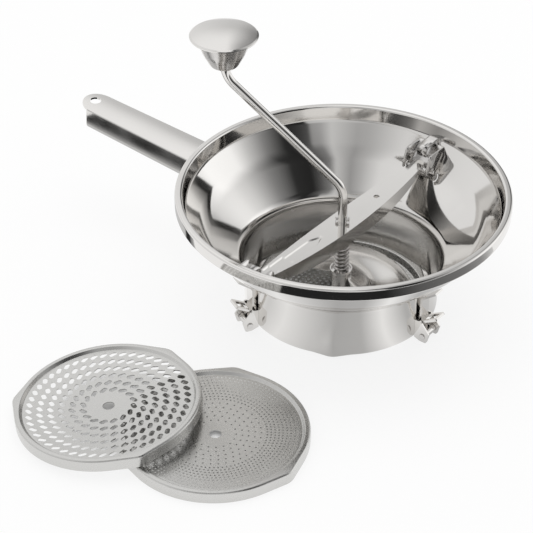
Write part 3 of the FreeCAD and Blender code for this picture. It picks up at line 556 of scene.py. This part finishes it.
# Sieve discs
# Three stainless discs of one size, each with a turned-down edge that has three corners and a
# floor punched with its own pattern; one lies in the mill and two are spare.
disc_steel = steel("sieve_satin_steel", (0.64, 0.635, 0.62), (0.22, 0.34), bump=0.02)


def ring_of(radius, sides):
    """Round outline about the middle."""
    return [Vector((math.cos(a), math.sin(a))) * radius
            for a in (2 * math.pi * s / sides for s in range(sides))]


def round_holes(radius, rings, pitch, sides):
    """Outlines of round holes on rings: first and last ring's radius and their number."""
    first, last, count = rings
    made = []
    for number in range(count):
        ring_radius = first + number * (last - first) / (count - 1)
        holes = int(2 * math.pi * ring_radius / pitch)
        for hole in range(holes):
            turn = 2 * math.pi * (hole + 0.5 * (number % 2)) / holes
            centre = Vector((math.cos(turn), math.sin(turn))) * ring_radius
            made.append([centre + point for point in ring_of(radius, sides)])
    return made


def slanted_slots(length, width, skew, rings, pitch):
    """Outlines of slots with round ends, all leaning the same way."""
    slot = [Vector((math.copysign((length - width) / 2, math.cos(a)) + width / 2 * math.cos(a),
                    width / 2 * math.sin(a))) for a in (2 * math.pi * (s + 0.5) / 16 for s in range(16))]
    first, last, count = rings
    made = []
    for number in range(count):
        ring_radius = first + number * (last - first) / (count - 1)
        slots = int(2 * math.pi * ring_radius / pitch)
        for place in range(slots):
            turn = 2 * math.pi * (place + 0.5 * (number % 2)) / slots
            lean = Matrix.Rotation(turn - math.radians(skew), 2)
            centre = Vector((math.cos(turn), math.sin(turn))) * ring_radius
            made.append([centre + lean @ point for point in slot])
    return made


disc_corner = 66.6


def sieve(name, body, node, openings, place, rise):
    """Disc with a punched floor that is dished by its rise."""
    edge, floor_at, round_steps = 57.6, 3.4, 180
    outer, brim, centre_hole = 64.0, 8.6, 4.2
    disc_bm = bmesh.new()
    bent_profile(disc_bm, [
        (edge, floor_at + rise, 0), (58.7, floor_at + rise, 0.8), (60.4, brim, 0.8),
        (outer, brim, 1.6), (outer, 0.0, 0)], step=9)
    lathe(disc_bm, round_steps)
    for vert in disc_bm.verts:
        radius = math.hypot(vert.co.x, vert.co.y) / MM
        angle = math.degrees(math.atan2(vert.co.y, vert.co.x))
        push = bulge(angle, outer, disc_corner, 12.0) - outer
        push *= min(1.0, max(0.0, (radius - 61.2) / 1.2))
        vert.co.x *= (radius + push) / radius
        vert.co.y *= (radius + push) / radius
    outlines = [ring_of(edge, round_steps), ring_of(centre_hole, 32)] + openings
    points, loops = [], []
    for outline in outlines:
        loops.append(list(range(len(points), len(points) + len(outline))))
        points += outline
    points, _, faces, _, _, inside = geometry.delaunay_2d_cdt(points, [], loops, 0, 1e-5)
    lifted = [disc_bm.verts.new(Vector((p.x, p.y, floor_at + rise * (p.length / edge) ** 2)) * MM)
              for p in points]
    for corners, within in zip(faces, inside):
        if list(within) == [0]:
            disc_bm.faces.new([lifted[i] for i in corners])
    bmesh.ops.remove_doubles(disc_bm, verts=disc_bm.verts, dist=0.01 * MM)
    bmesh.ops.delete(disc_bm, geom=[v for v in disc_bm.verts if not v.link_faces], context="VERTS")
    bmesh.ops.recalc_face_normals(disc_bm, faces=disc_bm.faces)
    outward(disc_bm, (0, 0, 1))
    bmesh.ops.transform(disc_bm, matrix=place, verts=disc_bm.verts)
    disc = new_object(name, disc_bm, disc_steel)
    thicken(disc, sheet)
    settle(disc)
    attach(disc, body)
    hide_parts(node)


def turned_at(degrees, x=0.0, y=0.0, z=0.0):
    """Place of a disc that is turned about the upright axis and moved."""
    return Matrix.Translation(Vector((x, y, z)) * MM) @ Matrix.Rotation(math.radians(degrees), 4, "Z")


spare_rise = 3.0
sieve("medium_sieve", "mill_body", "sieve_disc_medium",
      round_holes(1.15, (14.0, 55.5, 12), 3.9, 14), turned_at(0, z=sheet), 0.0)
sieve("fine_sieve", "spare_fine", "sieve_disc_fine",
      round_holes(0.6, (14.0, 31.0, 5), 5.0, 10) + round_holes(0.6, (35.0, 56.2, 9), 2.75, 10),
      turned_at(56, 23.0, -179.0), spare_rise)
lean_turn, lean_up, lean_reach = 19.85, 9.1, 104.45
lean_low = turned_at(lean_turn) @ Vector((-disc_corner * MM, 0, 0))
lean_axis = turned_at(lean_turn + 90) @ Vector((1, 0, 0))
lean = (Matrix.Translation(lean_low)
        @ Matrix.Rotation(-math.asin(lean_up / lean_reach), 4, lean_axis)
        @ Matrix.Translation(-lean_low))
sieve("coarse_sieve", "spare_coarse", "sieve_disc_coarse",
      slanted_slots(6.0, 3.4, 55.0, (17.5, 54.3, 6), 6.7),
      turned_at(0, -48.2, -204.7) @ lean @ turned_at(30), spare_rise)


# Crank rod
# A polished 6.5 mm rod, bent twice cold: straight up through the bridge, out over the rim, and
# up again into the knob.
pressed_steel = steel("pressed_mirror_steel", (0.78, 0.765, 0.745), (0.07, 0.15), bump=0.02)


def straight_on(bm, loop, way):
    """Carry the rod's edge ring on in a straight line."""
    swept = bmesh.ops.extrude_edge_only(bm, edges=loop)
    ends = [v for v in swept["geom"] if isinstance(v, bmesh.types.BMVert)]
    bmesh.ops.translate(bm, verts=ends, vec=way)
    return [e for e in swept["geom"] if isinstance(e, bmesh.types.BMEdge) and
            all(v in ends for v in e.verts)]


def bend_on(bm, loop, centre, axis, turn, steps):
    """Carry the rod's edge ring round a bend."""
    swept = bmesh.ops.spin(bm, geom=loop, cent=centre, axis=axis, angle=turn, steps=steps,
                           use_merge=False, use_duplicate=False)
    return [e for e in swept["geom_last"] if isinstance(e, bmesh.types.BMEdge)]


rod_radius, rod_chamfer = 3.25, 1.0
crank_reach = 85.8
rod_corners = [(0, 1.4, 0), (0, 97.0, 18.0), (crank_reach, 178.0, 22.0), (crank_reach, 204.8, 0)]
rod_turn = math.radians(204)
rod_plane = Vector((math.cos(rod_turn), math.sin(rod_turn), 0))
rod_points = [(rod_plane * out + Vector((0, 0, 1)) * up) * MM for out, up, _ in rod_corners]
rod_bm = bmesh.new()
bmesh.ops.create_circle(rod_bm, cap_ends=True, segments=40, radius=(rod_radius - rod_chamfer) * MM)
bmesh.ops.translate(rod_bm, verts=rod_bm.verts, vec=rod_points[0])
ring = straight_on(rod_bm, [e for e in rod_bm.edges], (0, 0, rod_chamfer * MM))
ring_verts = {v for e in ring for v in e.verts}
widen = rod_radius / (rod_radius - rod_chamfer)
bmesh.ops.scale(rod_bm, verts=list(ring_verts), vec=(widen, widen, 1),
                space=Matrix.Translation(-rod_points[0]))
reached = rod_points[0] + Vector((0, 0, rod_chamfer * MM))
straight_parts = 4
for index in (1, 2):
    here, bend = rod_points[index], rod_corners[index][2] * MM
    before = (rod_points[index - 1] - here).normalized()
    after = (rod_points[index + 1] - here).normalized()
    half = before.angle(after) / 2
    start = here + before * (bend / math.tan(half))
    centre = here + (before + after).normalized() * (bend / math.sin(half))
    for _ in range(straight_parts):
        ring = straight_on(rod_bm, ring, (start - reached) / straight_parts)
    ring = bend_on(rod_bm, ring, centre, (-before).cross(after).normalized(),
                   math.pi - 2 * half, 16)
    reached = here + after * (bend / math.tan(half))
ring = straight_on(rod_bm, ring, rod_points[3] - reached)
bmesh.ops.contextual_create(rod_bm, geom=ring)
bmesh.ops.remove_doubles(rod_bm, verts=rod_bm.verts, dist=0.001 * MM)
bmesh.ops.recalc_face_normals(rod_bm, faces=rod_bm.faces)
rod = new_object("crank", rod_bm, pressed_steel)
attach(rod, "crank")
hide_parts("crank_rod")


# Knob
# A spun lid with a shallow dome, pressed over a tapered cup that turns on the rod's end.
turned_steel = steel("turned_satin_steel", (0.72, 0.705, 0.69), (0.14, 0.26), bump=0.01, lines=0.5)

knob_place = rod_plane * crank_reach * MM
knob_rim = 210.4
lid_bm = bmesh.new()
bent_profile(lid_bm, [
    (0, knob_rim + 3.6, 0), (11.5, knob_rim + 3.6, 72.0), (22.9, knob_rim + 0.1, 1.0),
    (24.0, knob_rim - 0.7, 0.25), (24.0, knob_rim - 1.7, 0.4), (23.0, knob_rim - 2.0, 0)], step=2)
lathe(lid_bm, 96)
outward(lid_bm, (0, 0, 1))
bmesh.ops.translate(lid_bm, verts=lid_bm.verts, vec=knob_place)
lid = new_object("knob_lid", lid_bm, pressed_steel)
thicken(lid, sheet)
settle(lid)
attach(lid, "knob")
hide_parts("knob_cap")

cup_bm = bmesh.new()
bent_profile(cup_bm, [
    (21.9, knob_rim - 1.8, 0), (19.4, knob_rim - 1.8, 2.0), (15.0, knob_rim - 14.0, 30.0),
    (9.4, knob_rim - 24.5, 4.5), (5.2, knob_rim - 24.5, 0)], step=5)
lathe(cup_bm, 96)
outward(cup_bm, (0, 0, -1))
bmesh.ops.translate(cup_bm, verts=cup_bm.verts, vec=knob_place)
cup = new_object("knob_body", cup_bm, turned_steel)
thicken(cup, 0.9)
settle(cup)
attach(cup, "knob")
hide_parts("knob_cup")


# Spring
# Stainless wire wound cold, ten open turns, squeezed between the bridge and the cup on the hub.
spring_steel = steel("spring_wire_steel", (0.70, 0.68, 0.665), (0.16, 0.28), bump=0.01)
wire_radius, coil_radius = 0.95, 4.75
spring_low, spring_high, spring_turns = 26.2, 60.0, 10
spring_steps = 32 * spring_turns
spring_bm = bmesh.new()
bmesh.ops.create_circle(spring_bm, cap_ends=True, segments=14, radius=wire_radius * MM)
bmesh.ops.rotate(spring_bm, verts=spring_bm.verts, cent=(0, 0, 0),
                 matrix=Matrix.Rotation(math.pi / 2, 3, "X"))
bmesh.ops.translate(spring_bm, verts=spring_bm.verts, vec=(coil_radius * MM, 0, spring_low * MM))
wire_ring = [e for e in spring_bm.edges]
wire_end = bmesh.ops.spin(spring_bm, geom=wire_ring, cent=(0, 0, 0), axis=(0, 0, 1),
                          angle=2 * math.pi * spring_turns, steps=spring_steps,
                          dvec=(0, 0, (spring_high - spring_low) * MM / spring_steps),
                          use_merge=False, use_duplicate=False)
bmesh.ops.contextual_create(spring_bm, geom=[e for e in wire_end["geom_last"]
                                             if isinstance(e, bmesh.types.BMEdge)])
bmesh.ops.recalc_face_normals(spring_bm, faces=spring_bm.faces)
spring = new_object("spring_coil", spring_bm, spring_steel)
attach(spring, "bridge")
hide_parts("spring")
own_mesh(spring)


# Bridge bar
# Stainless strip pressed into a shallow upside-down trough: widest and deepest in the middle,
# bowed up towards its ends, with a pointed stiffening groove and a small drainage hole.
straight_share = 0.9


def station(share, straight, tip):
    """Distance along, and share of full width, of a strip that ends in a half circle."""
    if abs(share) <= straight_share:
        return share / straight_share * straight, 1.0
    turn = (abs(share) - straight_share) * 10 * math.pi / 2
    return math.copysign(straight + tip * math.sin(turn), share), math.cos(turn)


def cut(piece, cutter_bm):
    """Take the cutter's shape out of a closed piece."""
    tool = new_object("cutter", cutter_bm, piece.data.materials[0])
    taken = piece.modifiers.new("cut", "BOOLEAN")
    taken.object = tool
    taken.solver = "EXACT"
    taken.use_self = True
    bake(piece)
    bpy.data.objects.remove(tool)


def peg(radius, low, high, centre=(0, 0), segments=48):
    """Upright round cutter."""
    made = bmesh.new()
    bmesh.ops.create_cone(made, cap_ends=True, segments=segments, radius1=radius * MM,
                          radius2=radius * MM, depth=(high - low) * MM)
    bmesh.ops.translate(made, verts=made.verts,
                        vec=Vector((centre[0], centre[1], (low + high) / 2)) * MM)
    return made


def soften(piece, size, segments=3):
    """Round the edges that are left sharp, and keep the flats flat."""
    edge = piece.modifiers.new("edges", "BEVEL")
    edge.width = size * MM
    edge.segments = segments
    edge.limit_method = "ANGLE"
    edge.angle_limit = fold_angle
    edge.harden_normals = True


bar_straight, bar_tip, bar_half, bar_reach = 93.1, 4.4, 10.8, 97.5
bar_curve = (bar_straight ** 2 + (bar_half - bar_tip) ** 2) / (2 * (bar_half - bar_tip))
bar_height, bar_bow = 68.0, 4.0
fall_low, fall_taper = 55.8, 14.5
groove_row = 0.42
bar_rows = (-1.0, -0.84, -0.66, -groove_row, 0.0, groove_row, 0.66, 0.84, 1.0)
bar_turn = Matrix.Rotation(math.radians(87.5), 4, "Z")
bar_bm = bmesh.new()
bmesh.ops.create_grid(bar_bm, x_segments=80, y_segments=len(bar_rows) - 1, size=1.0)
for vert in bar_bm.verts:
    along, share = station(vert.co.x, bar_straight, bar_tip)
    row = bar_rows[round((vert.co.y + 1) * 4)]
    if abs(row) == groove_row and -34 < along < -12:
        row *= max(0.3, abs(along + 23.0) / 11.0)
    half = bar_half - bar_curve + math.sqrt(bar_curve ** 2 - min(abs(along), bar_straight) ** 2)
    height = bar_height + bar_bow * (along / bar_reach) ** 2
    vert.co = Vector((along, row * half * share, height)) * MM
bmesh.ops.remove_doubles(bar_bm, verts=bar_bm.verts, dist=0.001 * MM)
bar_rim = [e for e in bar_bm.edges if e.is_boundary]
bar_fall = bmesh.ops.extrude_edge_only(bar_bm, edges=bar_rim)
for vert in [v for v in bar_fall["geom"] if isinstance(v, bmesh.types.BMVert)]:
    vert.co.z = (fall_low + fall_taper * abs(vert.co.x / MM / bar_reach) ** 3) * MM
bmesh.ops.bevel(bar_bm, geom=bar_rim, offset=1.6 * MM, offset_type="OFFSET", segments=4,
                profile=0.5, affect="EDGES", clamp_overlap=True, material=-1)
bmesh.ops.recalc_face_normals(bar_bm, faces=bar_bm.faces)
outward(bar_bm, (0, 0, 1))
groove = [f for f in bar_bm.faces
          if f.normal.z > 0.9 and -86 * MM < f.calc_center_median().x < -24 * MM
          and max(abs(v.co.y) for v in f.verts) < 0.5 * bar_half * MM]
bmesh.ops.inset_region(bar_bm, faces=groove, thickness=0.9 * MM, depth=-0.9 * MM,
                       use_even_offset=True)
bar = new_object("bridge", bar_bm, pressed_steel)
thicken(bar, 1.2)
cut(bar, peg(5.2, 50, 80))
cut(bar, peg(2.2, 60, 80, (41.0, 0), 28))
soften(bar, 0.3, 2)
bar.data.transform(bar_turn)
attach(bar, "bridge")
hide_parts("bridge_bar")


# Handle
# A crowned stainless plate with a rounded end and a hanging hole, over a deep trough of thinner
# sheet; the two are welded together and to the outside of the bowl.
handle_tilt = math.radians(3.8)
handle_root, handle_height, handle_length, handle_tip = 96.0, 76.6, 147.5, 12.0
handle_place = (Matrix.Rotation(math.pi, 4, "Z")
                @ Matrix.Translation(Vector((handle_root, 0, handle_height)) * MM)
                @ Matrix.Rotation(-handle_tilt, 4, "Y"))


def handle_half(along):
    """Half of the plate's width at a distance along the handle."""
    return 14.25 - 2.25 * along / handle_length


def wall_radius(height, line=bowl_line):
    """Radius of the bowl's wall at a height."""
    for (low, inner), (high, outer) in zip(line, line[1:]):
        if low <= height <= high:
            return inner + (outer - inner) * (height - low) / (high - low)
    return line[-1][1]


def at_wall(y, z, sink=0.7):
    """Distance along the handle at which a line of it meets the bowl's wall."""
    along = 12.0
    for _ in range(4):
        height = handle_height + along * math.sin(handle_tilt) + z * math.cos(handle_tilt)
        out = math.sqrt((wall_radius(height) + sink) ** 2 - y * y)
        along = (out - handle_root + z * math.sin(handle_tilt)) / math.cos(handle_tilt)
    return along


plate_crown = 60
plate_bm = bmesh.new()
bmesh.ops.create_grid(plate_bm, x_segments=60, y_segments=16, size=1.0)
for vert in plate_bm.verts:
    along, share = station((vert.co.x + 1) / 2, handle_length - handle_tip, handle_tip)
    y = vert.co.y * handle_half(along) * share
    along = max(along, 0) + max(0.0, 1 - along / 40) * at_wall(y, 0)
    vert.co = Vector((along, y, math.sqrt(plate_crown ** 2 - y * y) - plate_crown)) * MM
bmesh.ops.remove_doubles(plate_bm, verts=plate_bm.verts, dist=0.001 * MM)
bmesh.ops.recalc_face_normals(plate_bm, faces=plate_bm.faces)
outward(plate_bm, (0, 0, 1))
plate = new_object("handle_top", plate_bm, pressed_steel)
thicken(plate, 1.5)
cut(plate, peg(4.4, -10, 10, (138.0, 0)))
soften(plate, 0.5)
plate.data.transform(handle_place)
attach(plate, "mill_body")
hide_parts("handle_plate")

trough_half, trough_lip, trough_floor, trough_bend = 13.75, -2.6, -22.25, 6.0
trough_length, trough_steps, trough_shoulder = 137.5, 12, -8.5
trough_bm = bmesh.new()
bent_profile(trough_bm, [
    (trough_half, trough_lip, 0), (trough_half, trough_floor, trough_bend),
    (-trough_half, trough_floor, trough_bend), (-trough_half, trough_lip, 0)], step=6)
bmesh.ops.rotate(trough_bm, verts=trough_bm.verts, cent=(0, 0, 0),
                 matrix=Matrix.Rotation(math.pi / 2, 3, "Z"))
trough_ring = trough_bm.edges[:]
for vert in trough_bm.verts:
    vert.co.x = at_wall(vert.co.y / MM, vert.co.z / MM, 1.8) * MM
for step in range(1, trough_steps + 1):
    swept = bmesh.ops.extrude_edge_only(trough_bm, edges=trough_ring)
    trough_ring = [e for e in swept["geom"] if isinstance(e, bmesh.types.BMEdge)
                   and all(v in swept["geom"] for v in e.verts)]
    for vert in [v for v in swept["geom"] if isinstance(v, bmesh.types.BMVert)]:
        if step == 1:
            vert.co.x = max(20.0, at_wall(vert.co.y / MM, vert.co.z / MM) + 5) * MM
        else:
            vert.co.x = (step / trough_steps * trough_length) * MM
for vert in trough_bm.verts:
    narrow = (handle_half(vert.co.x / MM) - 0.5) / trough_half
    vert.co.y *= narrow
    if vert.co.z < trough_shoulder * MM:
        vert.co.z = trough_shoulder * MM + (vert.co.z - trough_shoulder * MM) * narrow
bmesh.ops.remove_doubles(trough_bm, verts=trough_bm.verts, dist=0.001 * MM)
bmesh.ops.recalc_face_normals(trough_bm, faces=trough_bm.faces)
outward(trough_bm, (0, 0, -1))
trough = new_object("handle_trough", trough_bm, pressed_steel)
thicken(trough, 1.2)
soften(trough, 0.3, 2)
trough.data.transform(handle_place)
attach(trough, "mill_body")
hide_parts("handle_shell")


# Saddle and bridge brackets
# Pressed sheet pieces spot-welded to the flare: the saddle outside, hidden in the hollow handle,
# and two brackets inside, over the ends of the bridge. Each follows the wall it is welded to,
# where the wall of the plain form that they were bent for runs a little differently.
nodes = frame["nodes"]
weld_gap = 0.002

plain_bm = bmesh.new()
bent_profile(plain_bm, [
    (base_radius, 26.0, 0), (base_radius, 36.0, 6.0), (100.0, 60.0, 60.0), (115.4, rim_top, 0)], step=2)
plain_line = sorted((v.co.z / MM, v.co.x / MM) for v in plain_bm.verts)
plain_bm.free()


def welded_on(node, name):
    """Copy of a piece, shaped to the spun wall where it lies against it."""
    made = bmesh.new()
    made.from_mesh(nodes[node].data)
    bmesh.ops.transform(made, matrix=nodes[node].matrix_world, verts=made.verts)
    bmesh.ops.remove_doubles(made, verts=made.verts, dist=weld_gap * MM)
    for vert in made.verts:
        radius = math.hypot(vert.co.x, vert.co.y) / MM
        height = vert.co.z / MM
        plain = wall_radius(height, plain_line)
        share = min(1.0, max(0.0, (radius - plain + 5.0) / 3.0))
        moved = (radius + share * (wall_radius(height) - plain)) / radius
        vert.co.x *= moved
        vert.co.y *= moved
    piece = new_object(name, made, turned_steel)
    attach(piece, "mill_body")
    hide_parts(node)


welded_on("handle_saddle", "saddle_plate")
welded_on("bowl_bracket_far", "bridge_bracket_far")
welded_on("bowl_bracket_near", "bridge_bracket_near")


# Pieces that keep their own shape
# Turned pins, bush, washer, cups and collars are pressed or pinned to the bridge, rod and knob;
# the pressed blade is welded to its hub, and each foot hangs by a rivet from a welded bracket.
def dress(node, material):
    """Give a metal piece its finish."""
    piece = nodes[node]
    for slot in piece.material_slots:
        slot.material = material
    if not piece.material_slots:
        piece.data.materials.append(material)
    weld = piece.modifiers.new("weld", "WELD")
    weld.merge_threshold = weld_gap * MM


dress("agitator_blade", pressed_steel)
for name in ("bridge_bush", "bridge_pin_far", "bridge_pin_near", "crank_stop_pin", "knob_sleeve",
             "knob_collar", "knob_retainer", "spring_washer", "spring_cup", "agitator_hub",
             "agitator_hub_pin"):
    dress(name, turned_steel)
for number in (1, 2, 3):
    dress("foot_bracket_%d" % number, pressed_steel)
    dress("foot_leg_%d" % number, pressed_steel)
    dress("foot_rivet_%d" % number, turned_steel)
